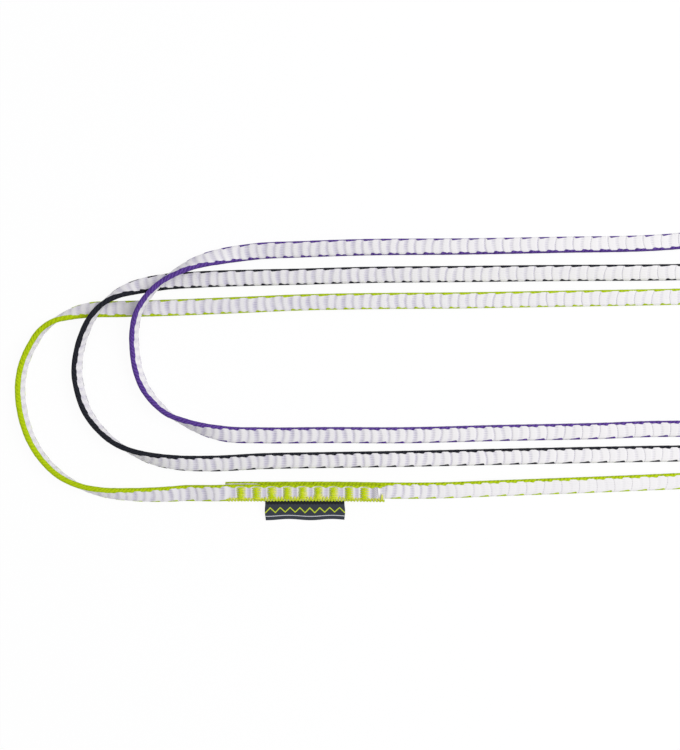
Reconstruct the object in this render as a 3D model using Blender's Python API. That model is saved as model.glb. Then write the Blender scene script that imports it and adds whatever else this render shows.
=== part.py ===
"""Three sewn climbing slings lying one on another: green below, black on it, violet on top.

Each sling is one strip of narrow flat webbing, a white body woven between two coloured edges.
The strip's ends lie one on the other in a long lap, held by a row of bar tacks, with a folded
label caught between the two layers. The slings lie flat on a table along their long runs and
turn up on edge round their end bends. Metres, +Z up, the origin on the table under the middle
of the set, +X along the runs.
"""

import math

import bmesh
import bpy
from mathutils import Matrix, Vector

MM = 0.001
WELD_DISTANCE = 0.001 * MM

# Webbing
WEB_WIDTH = 8.0 * MM
WEB_THICKNESS = 2.6 * MM
EDGE_WIDTH = 0.9 * MM
EDGE_THICKNESS = 2.2 * MM
BODY_CORNER = 0.4 * MM
CLEARANCE = 0.3 * MM
BODY_WIDTH = WEB_WIDTH - 2 * (EDGE_WIDTH + CLEARANCE)
CROSSING_RISE = WEB_THICKNESS + CLEARANCE

# Shares of the edge's width and thickness where its outer side rounds over
EDGE_SHOULDER_SHARE = 0.55
EDGE_NOSE_SHARE = 0.5

# Bar tacks: a dense zigzag bar on both faces, joined by stitches through both layers
TACK_COUNT = 9
TACK_LENGTH = 3.9 * MM
TACK_SPAN = 5.9 * MM
TACK_TEETH = 4
TOOTH_DEPTH = 0.55 * MM
THREAD_HEIGHT = 0.45 * MM
STITCH_SIDE = 0.6 * MM
STITCH_SPACING = 3.2 * MM
FIRST_TACK_MARGIN = 8.1 * MM
LAST_TACK_MARGIN = 9.8 * MM

# Label: a woven tape folded double, its ends between the layers, its fold hanging out
LABEL_LENGTH = 38.3 * MM
LABEL_DROP = 9.9 * MM
LABEL_PLY = 0.35 * MM
TAB_THICKNESS = 0.4 * MM
TAB_DEPTH = 4.2 * MM
FLAP_THICKNESS = 2 * LABEL_PLY + CLEARANCE

# Lap: how the strip's two ends lie on each other
LAP_LENGTH = 77.0 * MM
LAP_RAMP = 22.0 * MM
UPPER_SHIFT = 0.8 * MM
LAYER_GAP = TAB_THICKNESS + 2 * CLEARANCE
LOWER_LIFT = THREAD_HEIGHT + CLEARANCE
UPPER_LIFT = LOWER_LIFT + WEB_THICKNESS + LAYER_GAP
SEAM_HEIGHT = LOWER_LIFT + WEB_THICKNESS + LAYER_GAP / 2
LAP_TOP = UPPER_LIFT + WEB_THICKNESS
HINGE_OUT = (WEB_WIDTH + UPPER_SHIFT + FLAP_THICKNESS) / 2 + CLEARANCE

# How finely a strip is laid out: the longest step on a straight run, and the turn and the
# twist that use up one step
RUN_STEP = 60.0 * MM
BEND_STEP = math.radians(14.0)
TWIST_STEP = math.radians(22.0)
CURVE_SAMPLES = 24

# Each route is one closed loop, seen from above against the clock, from the cut end under the
# lap. A point is x and y in millimetres, how far the strip stands up on its outer edge in
# degrees (0 lies flat with the outer face up, 90 stands on edge), and how high it rises over
# what it crosses, as a share of CROSSING_RISE.
GREEN_ROUTE = [
    (-195, -63.9, 0, 0), (-177.5, -63.8, 0, 0), (-156.5, -63.7, 0, 0), (-136, -63.8, 0, 0),
    (-118, -64.1, 0, 0), (-96, -64.2, 3, 0), (-62, -63, 6, 0), (-13.5, -61.2, 6, 0),
    (15.5, -60, 6, 0), (47, -58.6, 2, 0), (79.5, -57.5, 0, 0), (112, -57.5, 0, 0),
    (139, -56.5, 0, 0), (161, -52.5, 0, 0), (182.5, -47.5, 0, 0), (205, -41, 6, 0),
    (221.5, -34.5, 30, 0), (237.5, -26.5, 64, 0), (252.5, -16.5, 86, 0), (260.5, -4.5, 90, 0),
    (261.5, 8, 90, 0), (255, 19.5, 88, 0), (242, 28.5, 66, 0), (226.5, 32.5, 32, 0),
    (207, 33.5, 6, 0), (177, 32.5, 0, 0), (144.5, 32, 0, 0), (112, 31.5, 0, 0),
    (79.5, 31, -2, 0), (47, 30.5, -8, 0), (15.5, 29.8, -15, 0), (-33, 29, -16, 0),
    (-81.5, 28.2, -16, 0), (-130, 27.8, -16, 0), (-159, 27.2, -16, 0), (-183, 26.2, -14, 0),
    (-207.5, 25.2, -9, 0), (-229, 24.5, -3, 0), (-248.5, 24, 6, 0), (-261, 23.5, 20, 0),
    (-269.5, 21.5, 48, 0), (-277, 18.5, 76, 0), (-283.5, 13.5, 88, 0), (-288.2, 6.5, 90, 0),
    (-292.2, -2.5, 90, 0), (-294, -12.5, 90, 0), (-293.6, -22, 90, 0), (-291.6, -31.5, 90, 0),
    (-287.8, -41, 90, 0), (-282, -49.5, 90, 0), (-274.3, -56.7, 88, 0), (-264.8, -61.8, 74, 0),
    (-254, -64.7, 56, 0), (-241, -65.8, 38, 0), (-226, -65.9, 22, 0), (-211, -65.1, 6, 0),
]
BLACK_ROUTE = [
    (202.5, 46, 0, 0), (180.5, 46, 0, 0), (156.5, 46, 0, 0), (125.5, 46, 0, 0), (95.5, 44, 0, 0),
    (63, 42.5, -3, 0), (38.5, 42.2, -9, 0), (15.5, 41.8, -15, 0), (-33, 41.5, -16, 0),
    (-81.5, 41, -16, 0), (-130, 40.5, -16, 0), (-159, 39.7, -16, 0), (-183, 39.2, -14, 0),
    (-207.5, 38.4, -8, 0), (-226.5, 37, 4, 0), (-237.5, 34.5, 18, 0.3), (-245.5, 31, 56, 1.2),
    (-252, 26, 78, 1.9), (-257.5, 19.5, 88, 1.9), (-262.3, 11.5, 92, 1), (-265.5, 3, 95, 0.2),
    (-266.6, -6.5, 98, 0), (-265.1, -16, 98, 0), (-261.8, -25.5, 96, 0), (-256.2, -33.5, 93, 0),
    (-248.7, -40.4, 86, 0), (-239.5, -45.3, 70, 0), (-230.5, -48.4, 46, 0), (-219, -50.4, 26, 0),
    (-202.5, -51, 12, 0), (-178, -49.9, 8, 0), (-144.5, -49.3, 6, 0), (-110.5, -48.8, 6, 0),
    (-62, -47.8, 6, 0), (-13.5, -46.8, 6, 0), (15.5, -46.3, 6, 0), (47, -46, 3, 0),
    (79.5, -46, 0, 0), (111, -47, 0, 0.3), (136.5, -48.5, 0, 1), (157, -49.5, 0, 1.4),
    (175.5, -50, 0, 1.4), (197, -50.5, 3, 1.3), (220.5, -50.5, 14, 0.5), (240.5, -48, 42, 0),
    (258, -42.5, 72, 0), (272.5, -32.5, 88, 0), (280.5, -19, 90, 0), (282.5, -3, 90, 0),
    (279.5, 12.5, 90, 0), (270.5, 27, 88, 0), (255, 37.5, 68, 0), (238, 43.5, 36, 0),
    (220, 46, 10, 0),
]
VIOLET_ROUTE = [
    (119, 63.5, 0, 0), (99.5, 62.4, 0, 0), (80, 61.3, 0, 0), (61, 60, 0, 0), (42, 58.6, 0, 0),
    (15.5, 56.4, 5, 0), (-33, 55.3, 5, 0), (-81.5, 54.5, 5, 0), (-130, 54, 5, 0),
    (-159, 53, 6, 0), (-180.5, 52, 8, 0.1), (-196, 49.5, 16, 0.6), (-207.5, 46, 40, 1.3),
    (-215.5, 42, 62, 1.8), (-224, 36.5, 80, 1.9), (-231, 29.5, 88, 1.9), (-236, 21.5, 92, 1.5),
    (-238.6, 11.5, 95, 0.5), (-238.6, 3, 98, 0), (-236.9, -6.5, 100, 0), (-233.9, -14, 101, 0),
    (-228.6, -21.2, 98, 0), (-222.5, -26.8, 88, 0), (-214.2, -31, 68, 0), (-205, -34.4, 42, 0),
    (-194.5, -36.7, 14, 0), (-178, -37.3, 7, 0), (-144.5, -37.2, 5, 0), (-110.5, -37.3, 5, 0),
    (-62, -36.2, 5, 0), (-13.5, -35.2, 5, 0), (15.5, -34.2, 5, 0), (39.5, -34.5, 3, 0.9),
    (61, -38.2, 0, 1.5), (85.5, -45, 0, 1.6), (111.5, -53, 0, 1.6), (138, -60.5, 0, 1.5),
    (165.5, -66.5, 0, 0.8), (193, -69, 6, 0), (219, -69, 22, 0), (241.5, -66.5, 50, 0),
    (262.5, -59.5, 75, 0), (279.5, -49, 88, 0), (290, -34.5, 90, 0), (294.5, -17.5, 90, 0),
    (294.5, 4, 90, 0), (289.5, 25, 90, 0), (278.5, 43, 84, 0), (260.5, 56, 62, 0),
    (241.5, 62.5, 32, 0), (220, 65.4, 10, 0), (194, 66.4, 0, 0), (162.5, 65.7, 0, 0),
    (137, 64.5, 0, 0),
]

# Colours
WHITE = (0.86, 0.85, 0.88)
GREEN = (0.39, 0.53, 0.02)
BLACK = (0.02, 0.02, 0.025)
VIOLET = (0.10, 0.05, 0.24)
CHARCOAL = (0.06, 0.07, 0.09)
CLOTH_ROUGHNESS = 0.85
THREAD_ROUGHNESS = 0.6


def smooth_step(share):
    """0 to 1 with level ends."""
    share = min(max(share, 0.0), 1.0)
    return share * share * (3 - 2 * share)


def half_height(stand):
    """Half the height of the strip's section when it stands up by the angle."""
    return (abs(math.sin(stand)) * WEB_WIDTH + abs(math.cos(stand)) * WEB_THICKNESS) / 2


class Route:
    """A smooth closed path through a route's points, and the strip that runs along it."""

    def __init__(self, points):
        rows = [
            (x * MM, y * MM, math.radians(stand), rise * CROSSING_RISE)
            for x, y, stand, rise in points
        ]
        self.samples = self.smooth(rows)
        self.runs = [0.0]
        ring = self.samples + self.samples[:1]
        for here, there in zip(ring, ring[1:]):
            self.runs.append(self.runs[-1] + (self.centre(there) - self.centre(here)).length)
        self.loop = self.runs[-1]
        self.length = self.loop + LAP_LENGTH

    @staticmethod
    def centre(row):
        """The strip rests on the table by its lowest corner, or rises over what it crosses."""
        return Vector((row[0], row[1], half_height(row[2]) + max(row[3], 0.0)))

    @staticmethod
    def smooth(rows):
        """Points on a cubic through the rows, with slopes weighted by the steps beside them."""
        count = len(rows)
        steps = []
        for i in range(count):
            there = rows[(i + 1) % count]
            steps.append(math.hypot(there[0] - rows[i][0], there[1] - rows[i][1]))
        slopes = []
        for i in range(count):
            before, here, after = rows[i - 1], rows[i], rows[(i + 1) % count]
            back, ahead = steps[i - 1], steps[i]
            slopes.append([
                ((b - a) / back * ahead + (c - b) / ahead * back) / (back + ahead)
                for a, b, c in zip(before, here, after)
            ])
        samples = []
        for i in range(count):
            after = (i + 1) % count
            for j in range(CURVE_SAMPLES):
                u = j / CURVE_SAMPLES
                weights = (
                    2 * u**3 - 3 * u**2 + 1,
                    (u**3 - 2 * u**2 + u) * steps[i],
                    3 * u**2 - 2 * u**3,
                    (u**3 - u**2) * steps[i],
                )
                parts = zip(rows[i], slopes[i], rows[after], slopes[after])
                samples.append([sum(w * p for w, p in zip(weights, part)) for part in parts])
        return samples

    def row(self, run):
        """x, y, stand angle and rise at a run along the closed loop."""
        run %= self.loop
        low, high = 0, len(self.runs) - 1
        while high - low > 1:
            middle = (low + high) // 2
            if self.runs[middle] <= run:
                low = middle
            else:
                high = middle
        share = (run - self.runs[low]) / (self.runs[high] - self.runs[low])
        after = self.samples[(low + 1) % len(self.samples)]
        return [a + (b - a) * share for a, b in zip(self.samples[low], after)]

    def heading(self, run):
        """The level direction of travel."""
        reach = WEB_THICKNESS
        ahead, behind = self.row(run + reach), self.row(run - reach)
        return Vector((ahead[0] - behind[0], ahead[1] - behind[1], 0)).normalized()

    def place(self, run):
        """Centre and stand angle of the strip at a run from its lower cut end."""
        row = self.row(run)
        under = 1 - smooth_step((run - LAP_LENGTH) / LAP_RAMP)
        over = smooth_step((run - self.loop + LAP_RAMP) / LAP_RAMP)
        outward = self.heading(run).cross(Vector((0, 0, 1)))
        centre = self.centre(row) + outward * over * UPPER_SHIFT
        centre.z += under * LOWER_LIFT + over * UPPER_LIFT
        return centre, row[2]

    def stations(self):
        """Runs along the strip, closer together where it bends or twists."""
        knots = [0.0, LAP_LENGTH, LAP_LENGTH + LAP_RAMP]
        knots += [self.loop - LAP_RAMP, self.loop, self.length]
        chosen = [0.0]
        for start, end in zip(knots, knots[1:]):
            chosen += self.steps(start, end)
        return chosen

    def steps(self, start, end):
        """Runs after the start, up to the end, that share the bend and twist between them."""
        count = math.ceil((end - start) / WEB_THICKNESS)
        runs = [start + (end - start) * i / count for i in range(count + 1)]
        places = [self.place(run) for run in runs]
        used = [0.0]
        before = places[1][0] - places[0][0]
        for (here, stand), (there, next_stand) in zip(places, places[1:]):
            ahead = there - here
            turn = before.angle(ahead)
            twist = abs(next_stand - stand)
            used.append(used[-1] + ahead.length / RUN_STEP + turn / BEND_STEP + twist / TWIST_STEP)
            before = ahead
        wanted = math.ceil(used[-1])
        chosen = []
        at = 0
        for i in range(1, wanted):
            target = used[-1] * i / wanted
            while used[at + 1] < target:
                at += 1
            share = (target - used[at]) / (used[at + 1] - used[at])
            chosen.append(runs[at] + (runs[at + 1] - runs[at]) * share)
        return chosen + [end]

    def lap_frame(self, run):
        """On the table midway between the two layers: X along the travel, Y inward, Z up."""
        lower, _ = self.place(run)
        upper, _ = self.place(run + self.loop)
        middle = (lower + upper) / 2
        along = self.heading(run)
        up = Vector((0, 0, 1))
        inward = up.cross(along)
        frame = Matrix((along, inward, up)).transposed().to_4x4()
        frame.translation = (middle.x, middle.y, 0)
        return frame


def material(name, colour, roughness):
    made = bpy.data.materials.new(name)
    made.use_nodes = True
    shader = made.node_tree.nodes["Principled BSDF"]
    shader.inputs["Base Color"].default_value = (*colour, 1)
    shader.inputs["Roughness"].default_value = roughness
    shader.inputs["Metallic"].default_value = 0.0
    return made


def link(name, data, collection):
    made = bpy.data.objects.new(name, data)
    collection.objects.link(made)
    return made


def evaluated_mesh(thing, name):
    """A welded plain mesh of an object as its curve or modifiers make it."""
    graph = bpy.context.evaluated_depsgraph_get()
    mesh = bpy.data.meshes.new_from_object(thing.evaluated_get(graph))
    mesh.name = name
    shape = bmesh.new()
    shape.from_mesh(mesh)
    bmesh.ops.remove_doubles(shape, verts=shape.verts, dist=WELD_DISTANCE)
    bmesh.ops.recalc_face_normals(shape, faces=shape.faces)
    shape.to_mesh(mesh)
    shape.free()
    return mesh


def outline(name, points, height, collection):
    """A flat outline, filled on both sides where it has a height."""
    curve = bpy.data.curves.new(name, "CURVE")
    curve.dimensions = "2D"
    spline = curve.splines.new("POLY")
    spline.points.add(len(points) - 1)
    for point, (x, y) in zip(spline.points, points):
        point.co = (x, y, 0, 1)
    spline.use_cyclic_u = True
    if height:
        curve.fill_mode = "BOTH"
        curve.extrude = height / 2
    return link(name, curve, collection)


def body_section():
    """The white body's section: a flat band with its corners taken off."""
    x, y = BODY_WIDTH / 2, WEB_THICKNESS / 2
    c = BODY_CORNER
    return [
        (x, c - y), (x, y - c), (x - c, y), (c - x, y),
        (-x, y - c), (-x, c - y), (c - x, -y), (x - c, -y),
    ]


def edge_section(side):
    """A coloured edge's section, flat against the body and rounded outside."""
    near = BODY_WIDTH / 2 + CLEARANCE
    shoulder = near + EDGE_WIDTH * EDGE_SHOULDER_SHARE
    nose = near + EDGE_WIDTH
    high = EDGE_THICKNESS / 2
    low = high * EDGE_NOSE_SHARE
    points = [(near, -high), (shoulder, -high), (nose, -low), (nose, low), (shoulder, high)]
    points.append((near, high))
    if side > 0:
        return points
    return [(-x, y) for x, y in reversed(points)]


def sweep(name, section, route, collection):
    """A strip of constant section along a route, with both ends cut square."""
    profile = outline(name + "_section", section, 0, collection)
    curve = bpy.data.curves.new(name, "CURVE")
    curve.dimensions = "3D"
    curve.twist_mode = "Z_UP"
    stations = route.stations()
    spline = curve.splines.new("POLY")
    spline.points.add(len(stations) - 1)
    for point, run in zip(spline.points, stations):
        centre, stand = route.place(run)
        point.co = (*centre, 1)
        point.tilt = stand
    curve.bevel_mode = "OBJECT"
    curve.bevel_object = profile
    curve.use_fill_caps = True
    guide = link(name + "_path", curve, collection)
    mesh = evaluated_mesh(guide, name)
    bpy.data.objects.remove(guide)
    bpy.data.objects.remove(profile)
    return link(name, mesh, collection)


def box(name, size, centre, collection):
    """A box with its size in the mesh."""
    shape = bmesh.new()
    bmesh.ops.create_cube(shape, size=1)
    bmesh.ops.scale(shape, vec=size, verts=shape.verts)
    mesh = bpy.data.meshes.new(name)
    shape.to_mesh(mesh)
    shape.free()
    made = link(name, mesh, collection)
    made.location = centre
    return made


def hide_cutter(cutter):
    cutter.hide_render = True
    cutter.display_type = "WIRE"


def boolean(target, cutter, operation, solver="EXACT"):
    cut = target.modifiers.new(operation.lower(), "BOOLEAN")
    cut.object = cutter
    cut.operation = operation
    cut.solver = solver


def zigzag_bar():
    """The tack's outline: thread ends stand out as teeth along both sides."""
    half, span = TACK_LENGTH / 2, TACK_SPAN
    pitch = span / TACK_TEETH
    right = []
    left = []
    for i in range(TACK_TEETH):
        y = i * pitch - span / 2
        right += [(half - TOOTH_DEPTH, y), (half, y + pitch / 2)]
        left += [(-half, y), (TOOTH_DEPTH - half, y + pitch / 2)]
    right.append((half - TOOTH_DEPTH, span / 2))
    left.append((-half, span / 2))
    return right + left[::-1]


def tack_mesh(collection):
    """One bar tack: a toothed bar above, a plain one below and two stitches between them."""
    top = outline("tack_outline", zigzag_bar(), THREAD_HEIGHT, collection)
    bar = link("tack_bar", evaluated_mesh(top, "tack_bar"), collection)
    bar.location.z = LAP_TOP + CLEARANCE + THREAD_HEIGHT / 2
    bpy.data.objects.remove(top)
    below_size = (TACK_LENGTH - 2 * TOOTH_DEPTH, TACK_SPAN, THREAD_HEIGHT)
    joined = [box("tack_below", below_size, (0, 0, THREAD_HEIGHT / 2), collection)]
    reach = LAP_TOP + CLEARANCE
    for side in (-1, 1):
        size = (STITCH_SIDE, STITCH_SIDE, reach)
        middle = (0, side * STITCH_SPACING / 2, (reach + THREAD_HEIGHT) / 2)
        joined.append(box("tack_stitch", size, middle, collection))
    for piece in joined:
        hide_cutter(piece)
        boolean(bar, piece, "UNION")
    mesh = evaluated_mesh(bar, "bar_tack")
    mesh.transform(Matrix.Translation(bar.location))
    for piece in [bar, *joined]:
        bpy.data.objects.remove(piece)
    return mesh


def tack_runs():
    pitch = (LAP_LENGTH - FIRST_TACK_MARGIN - LAST_TACK_MARGIN) / (TACK_COUNT - 1)
    return [FIRST_TACK_MARGIN + i * pitch for i in range(TACK_COUNT)]


def stitch_holes(name, route, collection):
    """Cutter for the holes that the stitches pass through, with clearance round each."""
    side = STITCH_SIDE + 2 * CLEARANCE
    shape = bmesh.new()
    for run in tack_runs():
        for across in (-1, 1):
            at = Vector((0, across * STITCH_SPACING / 2, LAP_TOP / 2))
            size = Matrix.Diagonal((side, side, 2 * LAP_TOP, 1))
            placed = route.lap_frame(run) @ Matrix.Translation(at) @ size
            bmesh.ops.create_cube(shape, size=1, matrix=placed)
    mesh = bpy.data.meshes.new(name)
    shape.to_mesh(mesh)
    shape.free()
    cutter = link(name, mesh, collection)
    hide_cutter(cutter)
    return cutter


def flap_section():
    """The folded tape's section: two plies from the seam to the fold, with a slit between."""
    half, slit = FLAP_THICKNESS / 2, CLEARANCE / 2
    straight = LABEL_DROP - half
    fold = [
        (straight + half * math.cos(turn), half * math.sin(turn))
        for turn in (math.radians(angle) for angle in (-90, -45, 0, 45, 90))
    ]
    return [(0, -half), *fold, (0, half), (0, slit), (straight, slit), (straight, -slit), (0, -slit)]


def flap_droop():
    """How far the flap hangs below level when its fold touches the table."""
    half = FLAP_THICKNESS / 2
    return math.asin((SEAM_HEIGHT - half) / (LABEL_DROP - half))


def label_flap(name, route, collection, cutters):
    """The hanging part of the label, its origin and local Z on the seam it folds about."""
    flat = outline(name + "_outline", flap_section(), LABEL_LENGTH, cutters)
    flap = link(name, evaluated_mesh(flat, name), collection)
    bpy.data.objects.remove(flat)
    frame = route.lap_frame(LAP_LENGTH / 2)
    seam = frame @ Matrix.Translation((0, -HINGE_OUT, SEAM_HEIGHT))
    outward = Matrix(((0, 0, -1, 0), (-1, 0, 0, 0), (0, 1, 0, 0), (0, 0, 0, 1)))
    flap.matrix_world = seam @ outward @ Matrix.Rotation(-flap_droop(), 4, "Z")
    return flap


def label_tab(name, route, collection):
    """The label's ends, flat between the two layers and caught by the tacks."""
    tip = (WEB_WIDTH + UPPER_SHIFT) / 2
    middle = (0, TAB_DEPTH / 2 - tip, SEAM_HEIGHT)
    tab = box(name, (LABEL_LENGTH, TAB_DEPTH, TAB_THICKNESS), (0, 0, 0), collection)
    tab.matrix_world = route.lap_frame(LAP_LENGTH / 2) @ Matrix.Translation(middle)
    return tab


def finish(thing, paint, sling):
    thing.data.materials.clear()
    thing.data.materials.append(paint)
    thing.parent = sling


def build_sling(colour_name, colour, points, tack, parts, cutters):
    """One sling: webbing body, two coloured edges, bar tacks and label."""
    route = Route(points)
    print(f"{colour_name} sling: loop {route.loop / MM:.1f} mm, webbing {route.length / MM:.1f} mm")
    sling = link(colour_name + "_sling", None, parts)
    holes = stitch_holes(colour_name + "_stitch_holes", route, cutters)
    white = material(colour_name + "_white_yarn", WHITE, CLOTH_ROUGHNESS)
    yarn = material(colour_name + "_edge_yarn", colour, CLOTH_ROUGHNESS)
    thread = material(colour_name + "_tack_thread", colour, THREAD_ROUGHNESS)
    tape = material(colour_name + "_label_tape", CHARCOAL, CLOTH_ROUGHNESS)

    webbing = sweep(colour_name + "_webbing", body_section(), route, parts)
    # The exact solver loses a long twisted strip that is cut through twice by one stitch
    boolean(webbing, holes, "DIFFERENCE", "MANIFOLD")
    finish(webbing, white, sling)
    for edge, side in (("inner", -1), ("outer", 1)):
        strip = sweep(f"{colour_name}_{edge}_edge", edge_section(side), route, parts)
        finish(strip, yarn, sling)

    own_tack = tack.copy()
    for i, run in enumerate(tack_runs()):
        made = link(f"{colour_name}_bar_tack_{i + 1}", own_tack, parts)
        frame = route.lap_frame(run)
        made.location = frame.translation
        made.rotation_euler = frame.to_euler()
        finish(made, thread, sling)

    tab = label_tab(colour_name + "_label_tab", route, parts)
    boolean(tab, holes, "DIFFERENCE")
    finish(tab, tape, sling)
    finish(label_flap(colour_name + "_label_flap", route, parts, cutters), tape, sling)


def main():
    for old in list(bpy.data.objects):
        bpy.data.objects.remove(old)
    parts = bpy.data.collections.new("climbing_slings")
    cutters = bpy.data.collections.new("cutters")
    for collection in (parts, cutters):
        bpy.context.scene.collection.children.link(collection)
    tack = tack_mesh(cutters)
    build_sling("green", GREEN, GREEN_ROUTE, tack, parts, cutters)
    build_sling("black", BLACK, BLACK_ROUTE, tack, parts, cutters)
    build_sling("violet", VIOLET, VIOLET_ROUTE, tack, parts, cutters)


main()
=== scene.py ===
"""Three sewn climbing slings of narrow ribbed webbing, lying one on another on a white table."""

import math

import bpy
import numpy as np
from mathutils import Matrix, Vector


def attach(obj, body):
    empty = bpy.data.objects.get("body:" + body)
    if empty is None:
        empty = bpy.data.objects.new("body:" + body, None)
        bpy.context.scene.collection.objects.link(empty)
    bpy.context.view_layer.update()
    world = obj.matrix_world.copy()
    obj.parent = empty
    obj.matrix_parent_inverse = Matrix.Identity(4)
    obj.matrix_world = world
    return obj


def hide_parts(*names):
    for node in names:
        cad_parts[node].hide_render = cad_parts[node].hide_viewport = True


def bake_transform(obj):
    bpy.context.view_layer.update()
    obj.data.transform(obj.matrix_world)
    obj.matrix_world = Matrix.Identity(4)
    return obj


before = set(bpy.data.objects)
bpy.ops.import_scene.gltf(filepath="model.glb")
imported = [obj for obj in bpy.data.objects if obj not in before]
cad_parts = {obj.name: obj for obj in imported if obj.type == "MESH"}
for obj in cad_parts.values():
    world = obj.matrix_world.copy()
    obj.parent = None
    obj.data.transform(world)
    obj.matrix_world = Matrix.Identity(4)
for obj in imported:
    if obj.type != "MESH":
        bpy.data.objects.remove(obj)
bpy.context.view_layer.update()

# Camera
# The slings are looked at from straight above, from about an arm's length, so their raised
# edges lean away from the middle of the picture.
MM = 0.001
CAMERA_PLACE = (-139.5 * MM, -8.0 * MM, 365.0 * MM)
VIEW_WIDTH = 329.8 * MM
VIEW_DISTANCE = 362.4 * MM

lens = bpy.data.cameras.new("camera")
lens.sensor_fit = "HORIZONTAL"
lens.lens = lens.sensor_width * VIEW_DISTANCE / VIEW_WIDTH
camera = bpy.data.objects.new("camera", lens)
camera.location = CAMERA_PLACE
bpy.context.scene.collection.objects.link(camera)
bpy.context.scene.camera = camera

# Sling webbing
# Each sling is one strip of thin tubular webbing, woven in white with a rib every four
# millimetres. Its two ends lie on each other in the lap, so it closes to a loop.
COLOURS = ("green", "black", "violet")
WEB_WIDTH = 8.0 * MM
WEB_THICKNESS = 2.6 * MM
CROSSING_RISE = 2.9 * MM
LAP_LENGTH = 77.0 * MM
LAP_RAMP = 22.0 * MM
UPPER_SHIFT = 0.8 * MM
LOWER_LIFT = 0.75 * MM
UPPER_LIFT = 4.35 * MM
STATION_STEP = 1.5 * MM
CURVE_SAMPLES = 24

# Nine bar tacks hold the lap. Their first and last places are kept off its two ends.
TACK_COUNT = 9
FIRST_TACK_MARGIN = 8.1 * MM
LAST_TACK_MARGIN = 9.8 * MM
TACK_PITCH = (LAP_LENGTH - FIRST_TACK_MARGIN - LAST_TACK_MARGIN) / (TACK_COUNT - 1)
SEWN_EASE = 0.5

# The ribs lie flattest in the middle of the long runs, where the webbing is straight, and are
# pressed out on some stretches, given by their runs in millimetres. Where the strip stands up
# on edge they are drawn out.
FLATTEST_PLACE = 30.0 * MM
FLAT_REACH = 230.0 * MM
RIB_RELIEF = (0.35, 1.1)
PRESSED_RELIEF = 0.15
STANDING_LOSS = 0.5
PRESSED_BORDER = 12.0 * MM
PRESSED = {"green": ((100, 340), (988, 1008)), "black": (), "violet": ()}

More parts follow.
